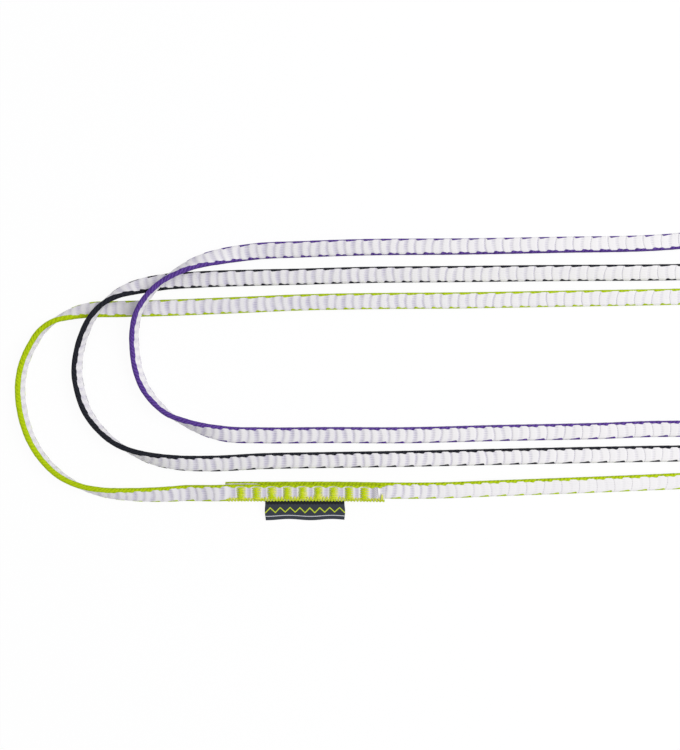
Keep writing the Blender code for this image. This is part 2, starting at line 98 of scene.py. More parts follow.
# Each route is a closed loop, seen from above against the clock, from the lower cut end. A
# point is x and y in millimetres, how far the strip stands up on its outer edge in degrees,
# and how high it rises over what it crosses, as a share of CROSSING_RISE.
ROUTES = {
    "green": [
        (-195, -63.9, 0, 0), (-177.5, -63.8, 0, 0), (-156.5, -63.7, 0, 0), (-136, -63.8, 0, 0),
        (-118, -64.1, 0, 0), (-96, -64.2, 3, 0), (-62, -63, 6, 0), (-13.5, -61.2, 6, 0),
        (15.5, -60, 6, 0), (47, -58.6, 2, 0), (79.5, -57.5, 0, 0), (112, -57.5, 0, 0),
        (139, -56.5, 0, 0), (161, -52.5, 0, 0), (182.5, -47.5, 0, 0), (205, -41, 6, 0),
        (221.5, -34.5, 30, 0), (237.5, -26.5, 64, 0), (252.5, -16.5, 86, 0),
        (260.5, -4.5, 90, 0), (261.5, 8, 90, 0), (255, 19.5, 88, 0), (242, 28.5, 66, 0),
        (226.5, 32.5, 32, 0), (207, 33.5, 6, 0), (177, 32.5, 0, 0), (144.5, 32, 0, 0),
        (112, 31.5, 0, 0), (79.5, 31, -2, 0), (47, 30.5, -8, 0), (15.5, 29.8, -15, 0),
        (-33, 29, -16, 0), (-81.5, 28.2, -16, 0), (-130, 27.8, -16, 0), (-159, 27.2, -16, 0),
        (-183, 26.2, -14, 0), (-207.5, 25.2, -9, 0), (-229, 24.5, -3, 0), (-248.5, 24, 6, 0),
        (-261, 23.5, 20, 0), (-269.5, 21.5, 48, 0), (-277, 18.5, 76, 0), (-283.5, 13.5, 88, 0),
        (-288.2, 6.5, 90, 0), (-292.2, -2.5, 90, 0), (-294, -12.5, 90, 0), (-293.6, -22, 90, 0),
        (-291.6, -31.5, 90, 0), (-287.8, -41, 90, 0), (-282, -49.5, 90, 0),
        (-274.3, -56.7, 88, 0), (-264.8, -61.8, 74, 0), (-254, -64.7, 56, 0),
        (-241, -65.8, 38, 0), (-226, -65.9, 22, 0), (-211, -65.1, 6, 0),
    ],
    "black": [
        (202.5, 46, 0, 0), (180.5, 46, 0, 0), (156.5, 46, 0, 0), (125.5, 46, 0, 0),
        (95.5, 44, 0, 0), (63, 42.5, -3, 0), (38.5, 42.2, -9, 0), (15.5, 41.8, -15, 0),
        (-33, 41.5, -16, 0), (-81.5, 41, -16, 0), (-130, 40.5, -16, 0), (-159, 39.7, -16, 0),
        (-183, 39.2, -14, 0), (-207.5, 38.4, -8, 0), (-226.5, 37, 6, 0), (-237.5, 34.5, 25, 0.4),
        (-245.5, 31, 54, 1.2), (-252, 26, 77, 1.9), (-257.5, 19.5, 88, 1.9),
        (-262.3, 11.5, 92, 1), (-265.5, 3, 95, 0.2), (-266.6, -6.5, 98, 0), (-265.1, -16, 98, 0),
        (-261.8, -25.5, 96, 0), (-256.2, -33.5, 93, 0), (-248.7, -40.4, 86, 0),
        (-239.5, -45.3, 70, 0), (-230.5, -48.4, 46, 0), (-219, -50.4, 26, 0),
        (-202.5, -51, 12, 0), (-178, -49.9, 8, 0), (-144.5, -49.3, 6, 0), (-110.5, -48.8, 4, 0),
        (-62, -47.8, 2, 0), (-13.5, -46.8, 2, 0), (15.5, -46.3, 2, 0), (47, -46, 2, 0),
        (79.5, -46, 0, 0), (111, -47, 0, 0.3), (136.5, -48.5, 0, 1), (157, -49.5, 0, 1.4),
        (175.5, -50, 0, 1.4), (197, -50.5, 3, 1.3), (220.5, -50.5, 14, 0.5), (240.5, -48, 42, 0),
        (258, -42.5, 72, 0), (272.5, -32.5, 88, 0), (280.5, -19, 90, 0), (282.5, -3, 90, 0),
        (279.5, 12.5, 90, 0), (270.5, 27, 88, 0), (255, 37.5, 68, 0), (238, 43.5, 36, 0),
        (220, 46, 10, 0),
    ],
    "violet": [
        (119, 63.5, 0, 0), (99.5, 62.4, 0, 0), (80, 61.3, 0, 0), (61, 60, 0, 0),
        (42, 58.6, 0, 0), (15.5, 56.4, 4, 0), (-33, 55.3, 3, 0), (-81.5, 54.5, -2, 0),
        (-130, 54, -10, 0), (-159, 53, -13, 0), (-180.5, 52, -7, 0.1), (-196, 49.5, 12, 0.6),
        (-207.5, 46, 40, 1.3), (-215.5, 42, 62, 1.8), (-224, 36.5, 80, 1.9),
        (-231, 29.5, 88, 1.9), (-236, 21.5, 92, 1.5), (-238.6, 11.5, 95, 0.5),
        (-238.6, 3, 98, 0), (-236.9, -6.5, 100, 0), (-233.9, -14, 101, 0),
        (-228.6, -21.2, 98, 0), (-222.5, -26.8, 88, 0), (-214.2, -31, 68, 0),
        (-205, -34.4, 42, 0), (-194.5, -36.7, 14, 0), (-178, -37.3, 7, 0), (-144.5, -37.2, 5, 0),
        (-110.5, -37.3, 4, 0), (-62, -36.2, 2, 0), (-13.5, -35.2, 2, 0), (15.5, -34.2, 3, 0),
        (39.5, -34.5, 3, 0.9), (61, -38.2, 0, 1.5), (85.5, -45, 0, 1.6), (111.5, -53, 0, 1.6),
        (138, -60.5, 0, 1.5), (165.5, -66.5, 0, 0.8), (193, -69, 6, 0), (219, -69, 22, 0),
        (241.5, -66.5, 50, 0), (262.5, -59.5, 75, 0), (279.5, -49, 88, 0), (290, -34.5, 90, 0),
        (294.5, -17.5, 90, 0), (294.5, 4, 90, 0), (289.5, 25, 90, 0), (278.5, 43, 84, 0),
        (260.5, 56, 62, 0), (241.5, 62.5, 32, 0), (220, 65.4, 10, 0), (194, 66.4, 0, 0),
        (162.5, 65.7, 0, 0), (137, 64.5, 0, 0),
    ],
}


def smooth_step(share):
    """0 to 1 with level ends."""
    share = np.clip(share, 0, 1)
    return share * share * (3 - 2 * share)


def mixed(share, low, high):
    """From low, where the share is 0, to high, where it is 1."""
    return share * (high - low) + low


class Strip:
    """The line that a sling's webbing follows, from its lower cut end to its upper one."""

    def __init__(self, points, pressed):
        rows = np.array(points, float) * (MM, MM, math.pi / 180, CROSSING_RISE)
        self.pressed = np.array(pressed, float).reshape(-1, 2) * MM
        self.rows = self.smooth(rows)
        stand = self.rows[:, 2]
        height = np.abs(np.sin(stand)) * WEB_WIDTH + np.abs(np.cos(stand)) * WEB_THICKNESS
        rests = height / 2 + np.maximum(self.rows[:, 3], 0)
        self.centres = np.column_stack([self.rows[:, :2], rests])
        ring = np.vstack([self.centres, self.centres[:1]])
        steps = np.linalg.norm(np.diff(ring, axis=0), axis=1)
        self.runs = np.concatenate([[0], np.cumsum(steps)])
        self.loop = self.runs[-1]
        self.length = self.loop + LAP_LENGTH

    @staticmethod
    def smooth(rows):
        """Points on a cubic through the rows, with slopes weighted by the steps beside them."""
        after, before = np.roll(rows, -1, axis=0), np.roll(rows, 1, axis=0)
        ahead = np.linalg.norm((after - rows)[:, :2], axis=1)[:, None]
        back = np.roll(ahead, 1, axis=0)
        slopes = ((rows - before) / back * ahead + (after - rows) / ahead * back) / (back + ahead)
        next_slopes = np.roll(slopes, -1, axis=0)
        samples = []
        for u in np.arange(CURVE_SAMPLES) / CURVE_SAMPLES:
            samples.append(
                (2 * u**3 - 3 * u**2 + 1) * rows
                + (u**3 - 2 * u**2 + u) * ahead * slopes
                + (3 * u**2 - 2 * u**3) * after
                + (u**3 - u**2) * ahead * next_slopes
            )
        return np.stack(samples, axis=1).reshape(-1, rows.shape[1])

    def along(self, values, runs):
        """Values that go with the samples, at runs along the closed loop."""
        ring = np.vstack([values, values[:1]])
        runs = np.mod(runs, self.loop)
        return np.column_stack([np.interp(runs, self.runs, column) for column in ring.T])

    def heading(self, runs):
        """The level direction of travel."""
        way = self.along(self.centres, runs + WEB_THICKNESS) - self.along(
            self.centres, runs - WEB_THICKNESS
        )
        way[:, 2] = 0
        return way / np.linalg.norm(way, axis=1)[:, None]

    def centre(self, runs):
        """The webbing's middle, with the two layers of the lap lifted and shifted."""
        under = 1 - smooth_step((runs - LAP_LENGTH) / LAP_RAMP)
        over = smooth_step((runs - self.loop + LAP_RAMP) / LAP_RAMP)
        outward = np.cross(self.heading(runs), (0, 0, 1))
        middle = self.along(self.centres, runs) + outward * (over * UPPER_SHIFT)[:, None]
        middle[:, 2] += under * LOWER_LIFT + over * UPPER_LIFT
        return middle

    def frames(self, runs):
        """Middles, directions to the inner edge and directions out of the outer face."""
        reach = WEB_THICKNESS / 4
        ahead = self.centre(np.minimum(runs + reach, self.length))
        way = ahead - self.centre(np.maximum(runs - reach, 0))
        way /= np.linalg.norm(way, axis=1)[:, None]
        left = np.cross((0, 0, 1), way)
        left /= np.linalg.norm(left, axis=1)[:, None]
        up = np.cross(way, left)
        stand = self.along(self.rows, runs)[:, 2:3]
        inward = np.cos(stand) * left + np.sin(stand) * up
        face = np.cos(stand) * up - np.sin(stand) * left
        return self.centre(runs), inward, face

    def tacks(self, runs):
        """Which bar tack a run is beside, counted from 0, in either layer of the lap."""
        in_lap = np.where(runs > self.length / 2, runs - self.loop, runs)
        return (in_lap - FIRST_TACK_MARGIN) / TACK_PITCH

    def stations(self, first=0.0, last=None, step=STATION_STEP):
        """A polyline mesh of the strip's middle that carries its directions."""
        last = self.length if last is None else last
        runs = np.linspace(first, last, math.ceil((last - first) / step) + 1)
        middles, inward, face = self.frames(runs)
        mesh = bpy.data.meshes.new("stations")
        mesh.from_pydata(middles.tolist(), [(i, i + 1) for i in range(len(runs) - 1)], [])
        tacks = self.tacks(runs)
        sewn = smooth_step((tacks + 1) / SEWN_EASE) * smooth_step((TACK_COUNT - tacks) / SEWN_EASE)
        end = self.length - runs
        slack = smooth_step(np.abs(middles[:, 0] - FLATTEST_PLACE) / FLAT_REACH)
        free = np.ones_like(runs)
        for low, high in self.pressed:
            free *= smooth_step(np.maximum(low - runs, runs - high) / PRESSED_BORDER + 1)
        lean = self.along(self.rows, runs)[:, 2]
        ribs = mixed(slack, *RIB_RELIEF) * mixed(free, PRESSED_RELIEF, 1)
        ribs *= 1 - STANDING_LOSS * np.sin(lean) ** 2
        kept = {"run": runs, "tacks": tacks, "sewn": sewn, "end": end, "lean": lean}
        kept |= {"slack": slack, "ribs": ribs}
        for name, values in kept.items():
            mesh.attributes.new(name, "FLOAT", "POINT").data.foreach_set("value", values)
        for name, vectors in (("inward", inward), ("face", face)):
            made = mesh.attributes.new(name, "FLOAT_VECTOR", "POINT")
            made.data.foreach_set("vector", vectors.ravel())
        return mesh


class Value:
    """A number that a node tree works out, so that a formula reads as it does on paper."""

    def __init__(self, tree, source):
        self.tree, self.source = tree, source

    def math(self, operation, *others, turned=False):
        node = self.tree.nodes.new("ShaderNodeMath")
        node.operation = operation
        terms = [self, *others]
        if turned:
            terms.reverse()
        for socket, term in zip(node.inputs, terms):
            if isinstance(term, Value):
                self.tree.links.new(term.source, socket)
            else:
                socket.default_value = term
        return Value(self.tree, node.outputs[0])

    def __add__(self, other):
        return self.math("ADD", other)

    def __sub__(self, other):
        return self.math("SUBTRACT", other)

    def __rsub__(self, other):
        return self.math("SUBTRACT", other, turned=True)

    def __mul__(self, other):
        return self.math("MULTIPLY", other)

    def __truediv__(self, other):
        return self.math("DIVIDE", other)

    def __pow__(self, power):
        return self.math("POWER", power)

    __radd__, __rmul__ = __add__, __mul__

    def size(self):
        return self.math("ABSOLUTE")

    def sign(self):
        return self.math("SIGN")

    def sine(self):
        return self.math("SINE")

    def cosine(self):
        return self.math("COSINE")

    def fraction(self):
        return self.math("FRACT")

    def rise(self, low, high, way="SMOOTHSTEP"):
        """0 below low, 1 above high and smooth, or straight, between."""
        node = self.tree.nodes.new("ShaderNodeMapRange")
        node.interpolation_type = way
        for name, term in (("Value", self), ("From Min", low), ("From Max", high)):
            if isinstance(term, Value):
                self.tree.links.new(term.source, node.inputs[name])
            else:
                node.inputs[name].default_value = term
        return Value(self.tree, node.outputs["Result"])


class Growth:
    """A geometry tree that turns a mesh of stations into one strip, stitch line or like part."""

    def __init__(self, name, **sizes):
        self.tree = bpy.data.node_groups.new(name, "GeometryNodeTree")
        face = self.tree.interface
        face.new_socket("Geometry", in_out="OUTPUT", socket_type="NodeSocketGeometry")
        face.new_socket("Geometry", in_out="INPUT", socket_type="NodeSocketGeometry")
        face.new_socket("Material", in_out="INPUT", socket_type="NodeSocketMaterial")
        for label in sizes:
            face.new_socket(label, in_out="INPUT", socket_type="NodeSocketFloat")
        self.sizes = sizes
        self.entry = self.tree.nodes.new("NodeGroupInput")

    def size(self, label):
        return Value(self.tree, self.entry.outputs[label])

    def node(self, kind, settings=(), **inputs):
        """A node with its inputs filled by values, sockets or plain numbers."""
        made = self.tree.nodes.new(kind if "Node" in kind else "GeometryNode" + kind)
        for setting, choice in settings:
            setattr(made, setting, choice)
        for label, given in inputs.items():
            socket = made.inputs[label.replace("_", " ")]
            if isinstance(given, Value):
                self.tree.links.new(given.source, socket)
            elif isinstance(given, bpy.types.NodeSocket):
                self.tree.links.new(given, socket)
            else:
                socket.default_value = given
        return made

    def read(self, attribute, kind="FLOAT"):
        made = self.node("InputNamedAttribute", [("data_type", kind)], Name=attribute)
        return made.outputs["Attribute"]

    def number(self, attribute):
        return Value(self.tree, self.read(attribute))

    def keep(self, geometry, attribute, value, kind="FLOAT"):
        settings = [("data_type", kind), ("domain", "POINT")]
        made = self.node(
            "StoreNamedAttribute", settings, Geometry=geometry, Name=attribute, Value=value
        )
        return made.outputs["Geometry"]

    def vector(self, x, y, z=0.0):
        made = self.tree.nodes.new("ShaderNodeCombineXYZ")
        for socket, given in zip(made.inputs, (x, y, z)):
            if isinstance(given, Value):
                self.tree.links.new(given.source, socket)
            else:
                socket.default_value = given
        return made.outputs[0]

    def stepped(self, start, *moves):
        """A point moved along directions, each by its own distance."""
        for direction, distance in moves:
            scaled = self.tree.nodes.new("ShaderNodeVectorMath")
            scaled.operation = "SCALE"
            self.tree.links.new(direction, scaled.inputs[0])
            self.tree.links.new(distance.source, scaled.inputs["Scale"])
            total = self.tree.nodes.new("ShaderNodeVectorMath")
            total.operation = "ADD"
            self.tree.links.new(start, total.inputs[0])
            self.tree.links.new(scaled.outputs[0], total.inputs[1])
            start = total.outputs[0]
        return start

    def finish(self, geometry):
        """Smooth faces, real geometry and one material, as the group's output."""
        smooth = self.node("SetShadeSmooth", Geometry=geometry).outputs["Geometry"]
        real = self.node("RealizeInstances", Geometry=smooth).outputs["Geometry"]
        painted = self.node("SetMaterial", Geometry=real, Material=self.entry.outputs["Material"])
        leave = self.tree.nodes.new("NodeGroupOutput")
        self.tree.links.new(painted.outputs["Geometry"], leave.inputs["Geometry"])

    def grow(self, name, base, material, **sizes):
        """The plain mesh object that the tree makes from a base mesh."""
        thing = bpy.data.objects.new(name, base)
        bpy.context.scene.collection.objects.link(thing)
        modifier = thing.modifiers.new("growth", "NODES")
        modifier.node_group = self.tree
        chosen = {"Material": material, **self.sizes, **sizes}
        for socket in self.tree.interface.items_tree:
            if socket.in_out == "INPUT" and socket.name in chosen:
                modifier[socket.identifier] = chosen[socket.name]
        graph = bpy.context.evaluated_depsgraph_get()
        mesh = bpy.data.meshes.new_from_object(thing.evaluated_get(graph))
        thing.modifiers.remove(modifier)
        thing.data = mesh
        for spare in ("run", "inward", "face", "centre", "turn"):
            if spare in mesh.attributes:
                mesh.attributes.remove(mesh.attributes[spare])
        return thing


# The weave repeats over two ribs: a smooth bent valley at its start and a toothed one halfway
WEAVE_PERIOD = 8.54 * MM
HALF_WIDTH = WEB_WIDTH / 2 - 0.1 * MM
HALF_THICKNESS = WEB_THICKNESS / 2 - 0.05 * MM
NOSE_PLACE = HALF_WIDTH - HALF_THICKNESS
SAMPLING_POWER = 0.6
VALLEY_BEND = 0.7 * MM
VALLEY_SLANT = 0.32 * MM
SLANT_LENGTHS = (67.0 * MM, 19.0 * MM)
SMOOTH_VALLEY_DEPTH = 0.286 * MM
SMOOTH_VALLEY_REACH = 0.85 * MM
TOOTHED_VALLEY_DEPTH = 0.242 * MM
TOOTHED_VALLEY_REACH = 1.3 * MM
VALLEY_BORDER = 0.35
SEWN_LOSS = 0.8
TACK_VALLEY_DEPTH = 0.35 * MM
TACK_VALLEY_RANGE = (1.2 * MM, 2.6 * MM)
MIDWAY_DEPTH = 0.2 * MM
MIDWAY_REACH = 1.2 * MM
SEALED_LENGTH = 3.3 * MM
SEALED_FLAT = 0.8 * SEALED_LENGTH
SEALED_SHARE = 0.62
BODY_STEP = 0.5 * MM
BODY_SIDES = 24


def valleys(run, across):
    """How far a point is from the nearest smooth and toothed valley, and how far in it lies."""
    share = across / HALF_WIDTH
    bulge = 1 - share * share
    slant = sum((run * (2 * math.pi / length)).sine() for length in SLANT_LENGTHS)
    bent = bulge * VALLEY_BEND + share * slant * VALLEY_SLANT
    phase = ((run - bent) / WEAVE_PERIOD).fraction()
    toothed = (phase - 0.5).size()
    return (0.5 - toothed) * WEAVE_PERIOD, toothed * WEAVE_PERIOD, bulge


def body_section(growth, turn, run):
    """Distances inward and out of the face: flat faces that carry the ribs, round edges."""
    angle = turn * (2 * math.pi)
    across_turn, face_turn = angle.cosine(), angle.sine()
    across = across_turn.sign() * across_turn.size() ** SAMPLING_POWER * HALF_WIDTH
    smooth, toothed, bulge = valleys(run, across)
    depth = (1 - smooth.rise(0.0, SMOOTH_VALLEY_REACH)) * SMOOTH_VALLEY_DEPTH
    depth = depth + (1 - toothed.rise(0.0, TOOTHED_VALLEY_REACH)) * TOOTHED_VALLEY_DEPTH
    sewn = growth.number("sewn")
    between = (growth.number("tacks").fraction() - 0.5).size() * TACK_PITCH
    pulled = between.rise(*TACK_VALLEY_RANGE) * TACK_VALLEY_DEPTH
    pulled = pulled + (1 - between.rise(0.0, MIDWAY_REACH)) * MIDWAY_DEPTH
    depth = depth * growth.number("ribs") * (1 - sewn * SEWN_LOSS) + pulled * sewn
    nose = ((across.size() - NOSE_PLACE) / HALF_THICKNESS).rise(0.0, 1.0, "LINEAR")
    height = (1 - nose * nose) ** 0.5 * HALF_THICKNESS - depth * bulge.rise(0.0, VALLEY_BORDER)
    open_weave = growth.number("end").rise(SEALED_FLAT, SEALED_LENGTH)
    return across, face_turn.sign() * height * mixed(open_weave, SEALED_SHARE, 1.0)


def swept(growth, section, sides, step):
    """Grows a closed section, given by a formula, along the stations."""
    line = growth.node("MeshToCurve", Mesh=growth.entry.outputs["Geometry"]).outputs["Curve"]
    fine = growth.node("ResampleCurve", [("mode", "LENGTH")], Curve=line, Length=step)
    here = growth.node("InputPosition").outputs["Position"]
    path = growth.keep(fine.outputs["Curve"], "centre", here, "FLOAT_VECTOR")
    ring = growth.node("CurvePrimitiveCircle", Resolution=sides).outputs["Curve"]
    share = growth.node("SplineParameter").outputs["Factor"]
    ring = growth.keep(ring, "turn", share)
    tube = growth.node("CurveToMesh", Curve=path, Profile_Curve=ring, Fill_Caps=True)
    run = growth.number("run")
    across, out = section(growth, growth.number("turn"), run)
    inward, face = growth.read("inward", "FLOAT_VECTOR"), growth.read("face", "FLOAT_VECTOR")
    centre = growth.read("centre", "FLOAT_VECTOR")
    place = growth.stepped(centre, (inward, across), (face, out))
    marked = growth.keep(
        tube.outputs["Mesh"], "weave", growth.vector(run, across, out), "FLOAT_VECTOR"
    )
    moved = growth.node("SetPosition", Geometry=marked, Position=place)
    growth.finish(moved.outputs["Geometry"])


YARN_SPECULAR = 0.08


class Surface:
    """A material with a Principled shader, fed by formulas on the weave attribute."""

    def __init__(self, name, colour, roughness):
        self.material = bpy.data.materials.new(name)
        self.material.use_nodes = True
        self.tree = self.material.node_tree
        self.shader = self.tree.nodes["Principled BSDF"]
        self.shader.inputs["Base Color"].default_value = (*colour, 1)
        self.shader.inputs["Roughness"].default_value = roughness
        self.shader.inputs["Specular IOR Level"].default_value = YARN_SPECULAR
        self.colour = None

    def weave(self):
        """The run along the strip, the place across it and the height of a point."""
        read = self.tree.nodes.new("ShaderNodeAttribute")
        read.attribute_name = "weave"
        split = self.tree.nodes.new("ShaderNodeSeparateXYZ")
        self.tree.links.new(read.outputs["Vector"], split.inputs[0])
        return [Value(self.tree, socket) for socket in split.outputs]

    def number(self, attribute):
        read = self.tree.nodes.new("ShaderNodeAttribute")
        read.attribute_name = attribute
        return Value(self.tree, read.outputs["Fac"])

    def shade(self, mask, colour):
        """Mixes another colour in where the mask is 1."""
        mix = self.tree.nodes.new("ShaderNodeMix")
        mix.data_type = "RGBA"
        self.tree.links.new(mask.source, mix.inputs["Factor"])
        below = mix.inputs[6]
        if self.colour is None:
            below.default_value = self.shader.inputs["Base Color"].default_value
        else:
            self.tree.links.new(self.colour, below)
        mix.inputs[7].default_value = (*colour, 1)
        self.colour = mix.outputs[2]
        self.tree.links.new(self.colour, self.shader.inputs["Base Color"])

    def noise(self, scale):
        """Even noise on the object's own coordinates, from 0 to 1."""
        places = self.tree.nodes.new("ShaderNodeTexCoord")
        noise = self.tree.nodes.new("ShaderNodeTexNoise")
        noise.inputs["Scale"].default_value = scale
        self.tree.links.new(places.outputs["Object"], noise.inputs["Vector"])
        return Value(self.tree, noise.outputs["Fac"])

    def emboss(self, height, distance):
        """Raises the surface by a height from 0 to 1, times a distance."""
        bump = self.tree.nodes.new("ShaderNodeBump")
        bump.inputs["Distance"].default_value = distance
        self.tree.links.new(height.source, bump.inputs["Height"])
        self.tree.links.new(bump.outputs["Normal"], self.shader.inputs["Normal"])


# What the eye still sees of the threads is drawn in painted shade: streaks along the ribs, which
# give the toothed valleys their teeth, and the line of each smooth valley. A pair of values is for
# the flat middle of the long runs and for the slack webbing further out, where the valleys open.
WHITE_YARN = (0.815, 0.8, 0.8)
SHADED_YARN = (0.52, 0.51, 0.58)
PAINTED_VALLEY_SHADE = (0.46, 0.43, 0.56)
THREAD_PITCH = 1.13 * MM
THREAD_RELIEF = 0.12 * MM
ROW_SHARE, TEETH_SHARE = 0.16, 0.7
STREAK_RANGE = (0.25, 0.75)
SLACK_BLUR = 0.5
TEETH_START = 0.3 * MM
TEETH_REACH = (1.15 * MM, 1.95 * MM)
TEETH_GAP = 0.3
TEETH_STRENGTH = 0.78
LINE_START = 0.12 * MM
LINE_REACH = (0.5 * MM, 2.1 * MM)
LINE_GAP = 0.25
LINE_SERRATION = (0.315 * MM, 0.72 * MM)
LINE_WEIGHT = (2.0, 0.85)
LINE_STRENGTH = 0.8
LINE_FADING = 0.55
FACE_BORDER = 0.2
SEWN_FADING = 0.75
MOTTLE_SCALE, MOTTLE_RANGE = 90.0, (0.35, 0.7)
PATCH_SCALE, PATCH_RANGE = 240.0, (0.3, 0.7)
PATCH_WEIGHT = (0.6, 1.15)
CREST_RANGE = (0.8 * MM, 2.0 * MM)
CREST_LIGHT = 0.45
STANDING_RANGE = (0.2, 1.2)
SHADOW_RANGE = (0.4, 1.1)
SHADOW_SHARE, STANDING_SHARE, MOTTLE_SHARE = 0.1, 0.12, 0.08

white_yarn = Surface("white_yarn", WHITE_YARN, roughness=0.85)
run, across, _ = white_yarn.weave()
smooth, toothed, bulge = valleys(run, across)
slack, ribs = white_yarn.number("slack"), white_yarn.number("ribs")
zigzag = ((across / THREAD_PITCH).fraction() - 0.5).size() * 2
streaks = zigzag.rise(*STREAK_RANGE)
streaks = streaks + (1 - streaks) * slack * SLACK_BLUR
teeth = 1 - toothed.rise(TEETH_START, mixed(slack, *TEETH_REACH))
teeth = teeth * mixed(streaks, TEETH_GAP, 1.0)
serration = mixed(slack, *LINE_SERRATION) * zigzag
line = 1 - (smooth + serration).rise(LINE_START, mixed(slack, *LINE_REACH))
line = line * mixed(streaks, LINE_GAP, 1.0) * mixed(slack, *LINE_WEIGHT)
seen = bulge.rise(0.0, FACE_BORDER) * (1 - white_yarn.number("sewn") * SEWN_FADING)
seen = seen * mixed(white_yarn.noise(PATCH_SCALE).rise(*PATCH_RANGE), *PATCH_WEIGHT)
mottle = white_yarn.noise(MOTTLE_SCALE).rise(*MOTTLE_RANGE)
# Painted shade: darker further out and on upright faces, less on rib crests; mottle is random tone
crests = smooth.rise(*CREST_RANGE) * toothed.rise(*CREST_RANGE)
standing = white_yarn.number("lean").rise(*STANDING_RANGE)
shadow = slack.rise(*SHADOW_RANGE) * (1 - crests * CREST_LIGHT) * (1 - standing)
painted_shade_and_mottle = shadow * SHADOW_SHARE + standing * STANDING_SHARE + mottle * MOTTLE_SHARE
white_yarn.shade(painted_shade_and_mottle, SHADED_YARN)
# Painted shade in the toothed and the smooth rib valleys
white_yarn.shade(teeth * seen * ribs * TEETH_STRENGTH, PAINTED_VALLEY_SHADE)
white_yarn.shade(line * seen * ribs ** LINE_FADING * LINE_STRENGTH, PAINTED_VALLEY_SHADE)
rows = (across * (2 * math.pi / THREAD_PITCH)).sine()
white_yarn.emboss(rows * ROW_SHARE - teeth * TEETH_SHARE - line, THREAD_RELIEF)

# The lap has painted shade halfway between its tacks, and its heat-sealed end has a hatched border
HATCH_TINT = (0.33, 0.31, 0.35)
HATCH_PITCH = 1.3 * MM
HATCH_SLOPE = 1.3
HATCH_RANGE = (0.1, 0.4)
HATCH_GAP = 0.4
BORDER_START = (SEALED_LENGTH, SEALED_LENGTH + 0.5 * MM)
BORDER_END = (SEALED_LENGTH + 2.6 * MM, SEALED_LENGTH + 3.4 * MM)
CREASE_SLOPE = 0.13
CREASE_RANGE = (0.1 * MM, 0.35 * MM)
CREASE_BORDER = 0.3
SEAL_STRENGTH = 0.8
MIDWAY_RANGE = (0.5 * MM, 1.5 * MM)
MIDWAY_BORDER = (0.35, 0.85)
MIDWAY_SEWN = (0.6, 1.0)
MIDWAY_GAP = 0.6
MIDWAY_STRENGTH = 0.75

between = (white_yarn.number("tacks").fraction() - 0.5).size() * TACK_PITCH
midway = (1 - between.rise(*MIDWAY_RANGE)) * bulge.rise(*MIDWAY_BORDER)
midway = midway * white_yarn.number("sewn").rise(*MIDWAY_SEWN) * mixed(streaks, MIDWAY_GAP, 1.0)
hatch = (((across * HATCH_SLOPE + run) / HATCH_PITCH).fraction() - 0.5).size()
end = white_yarn.number("end")
border = end.rise(*BORDER_START) * (1 - end.rise(*BORDER_END))
border = border * mixed(hatch.rise(*HATCH_RANGE), HATCH_GAP, 1.0)
crease = 1 - (end - across * CREASE_SLOPE - SEALED_LENGTH).size().rise(*CREASE_RANGE)
# Painted shade halfway between the tacks
white_yarn.shade(midway * MIDWAY_STRENGTH, PAINTED_VALLEY_SHADE)
white_yarn.shade(border * SEAL_STRENGTH, HATCH_TINT)
white_yarn.shade(crease * bulge.rise(0.0, CREASE_BORDER) * SEAL_STRENGTH, HATCH_TINT)

strips = {colour: Strip(ROUTES[colour], PRESSED[colour]) for colour in COLOURS}
bases = {colour: strips[colour].stations() for colour in COLOURS}

weaving = Growth("woven_strip")
swept(weaving, body_section, BODY_SIDES, BODY_STEP)

for colour in COLOURS:
    piece = weaving.grow(colour + "_white_weave", bases[colour].copy(), white_yarn.material)
    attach(piece, colour + "_sling")
    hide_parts(colour + "_webbing")

# Coloured edges
# A coloured yarn is woven round each edge of a strip and floats over the faces on every second
# rib. An edge that leans up shows as a solid line with teeth, and one that lies low as dashes.
EDGE_PROUD = (0.03 * MM, 0.1 * MM)
EDGE_BURIED = 0.3 * MM
EDGE_STEP = 0.4 * MM
EDGE_SIDES = 20
OUTER_SHARE = 0.6

# How far the yarn reaches round the edge, in degrees: always, and more where it floats. The
# first of a pair is for a strip whose outer edge leans up, and the second for one that lies flat.
LEAN_RANGE = np.radians((-15, 5))
INNER_LEAST, INNER_TOOTH = np.radians((30, 64)), np.radians((56, 32))
OUTER_LEAST, OUTER_TOOTH = np.radians((46, 20)), np.radians((30, 62))
UPRIGHT_RANGE = np.radians((25, 75))
UPRIGHT_REACH = {"green": math.radians(34), "black": math.radians(10), "violet": math.radians(8)}

# Where it floats, in shares of the weave: comes up from, is full, sinks from and is under. The
# inner edge has three such floats, each with its own height.
OUTER_FLOAT = (0.34, 0.44, 0.92, 1.0)
OUTER_SWELL, OUTER_SWELL_RANGE = 0.55, (0.45, 0.9)
INNER_START = 0.1
INNER_FLOATS = (
    ((0.0, 0.07, 0.62, 0.7), 0.45),
    ((0.0, 0.16, 0.18, 0.32), 0.25),
    ((0.3, 0.56, 0.6, 0.68), 0.55),
)

# In the lap the tacks pull the upper layer's inner edge into cusps, and the lower layer's yarn
# reaches further round where the upper layer covers it
TACK_CUSP, CUSP_POWER = math.radians(38), 2.5
LOWER_REACH = np.radians((58, 100))
DOUBLED_RANGE = (14 * MM, 20 * MM)
LOWER_END = (LAP_LENGTH, LAP_LENGTH + 4 * MM)

TWILL_PITCH = 1.9 * MM
TWILL_SLOPE = 1.2
TWILL_RANGE = (0.1, 0.8)
TWILL_SHADE = 0.7
TWILL_RELIEF = 0.2 * MM
DRIFT_SCALE, DRIFT = 700.0, 2.2 * MM
YARN_COLOURS = {
    "green": ((0.45, 0.585, 0.004), (0.345, 0.495, 0.003)),
    "black": ((0.018, 0.019, 0.026), (0.007, 0.008, 0.012)),
    "violet": ((0.118, 0.058, 0.3), (0.05, 0.02, 0.165)),
}


def floats(phase, start, full, sinks, under):
    """How far a yarn that floats over the face on a part of the weave has come up."""
    return phase.rise(start, full) * (1 - phase.rise(sinks, under))


